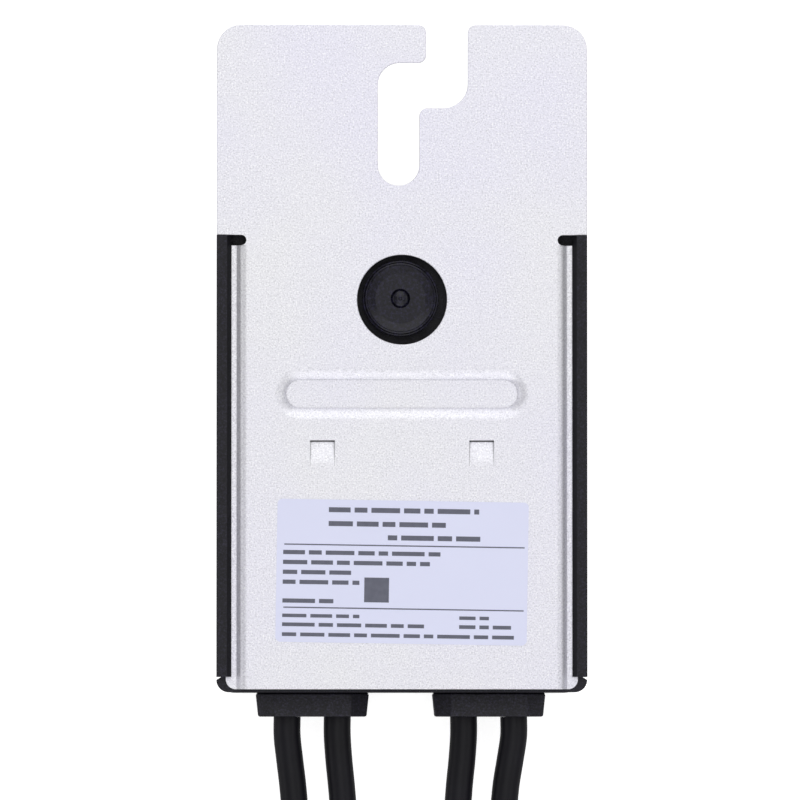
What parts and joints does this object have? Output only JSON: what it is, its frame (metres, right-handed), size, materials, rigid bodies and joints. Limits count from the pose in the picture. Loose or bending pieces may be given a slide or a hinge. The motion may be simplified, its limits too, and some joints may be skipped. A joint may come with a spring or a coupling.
{
  "type": "power optimizer",
  "caption": "Solar panel power optimizer: sealed black case on a sheet-metal hook plate with a bolt slot, cable glands and leads with connectors.",
  "frame": {"origin": "on the surface it lies on, under the middle of the body's box without the leads", "axes": "+Z out of the mounting plate, +Y towards the plate's hook slot, +X to the right seen from the plate"},
  "size_m": [0.075, 0.4059, 0.028],
  "materials": {
    "plate_metal": "fine sandblasted and clear anodised",
    "label_film": "smooth polyester film",
    "case_plastic": "fine spark-eroded texture",
    "plug_rubber": "satin moulded",
    "gland_rubber": "fine matt",
    "lead_jacket": "satin extruded",
    "connector_plastic": "satin",
    "tie_plastic": "satin",
    "copper": "bare copper",
    "tin": "tin plated",
    "screw_steel": "zinc plated",
    "board": "solder mask",
    "ferrite": "sintered",
    "capacitor_can": "sleeved",
    "chip_black": "moulded"
  },
  "bodies": {
    "root": {"mounting_plate": "plate_metal", "rating_label": "label_film", "rear_case": "case_plastic", "front_cover": "case_plastic", "fill_plug": "plug_rubber", "input_gland": "gland_rubber", "output_gland": "gland_rubber", "lead_jackets": "lead_jacket", "lead_conductors": "copper", "wire_terminals": "tin", "circuit_board": "board", "board_screws": "screw_steel", "inductor_core": "ferrite", "inductor_winding": "copper", "power_capacitors": "capacitor_can", "power_transistors": "chip_black", "bypass_diode": "chip_black", "control_chip": "chip_black", "lead_coil": "lead_jacket", "coil_ties": "tie_plastic", "input_positive_lead": "lead_jacket", "input_negative_lead": "lead_jacket", "output_negative_lead": "lead_jacket", "output_positive_lead": "lead_jacket", "output_positive_tail": "lead_jacket", "input_positive_nut": "connector_plastic", "input_positive_body": "connector_plastic", "input_positive_contact": "tin", "input_negative_nut": "connector_plastic", "input_negative_body": "connector_plastic", "input_negative_contact": "tin", "output_negative_nut": "connector_plastic", "output_negative_body": "connector_plastic", "output_negative_contact": "tin", "output_positive_nut": "connector_plastic", "output_positive_body": "connector_plastic", "output_positive_contact": "tin"}
  },
  "joints": []
}
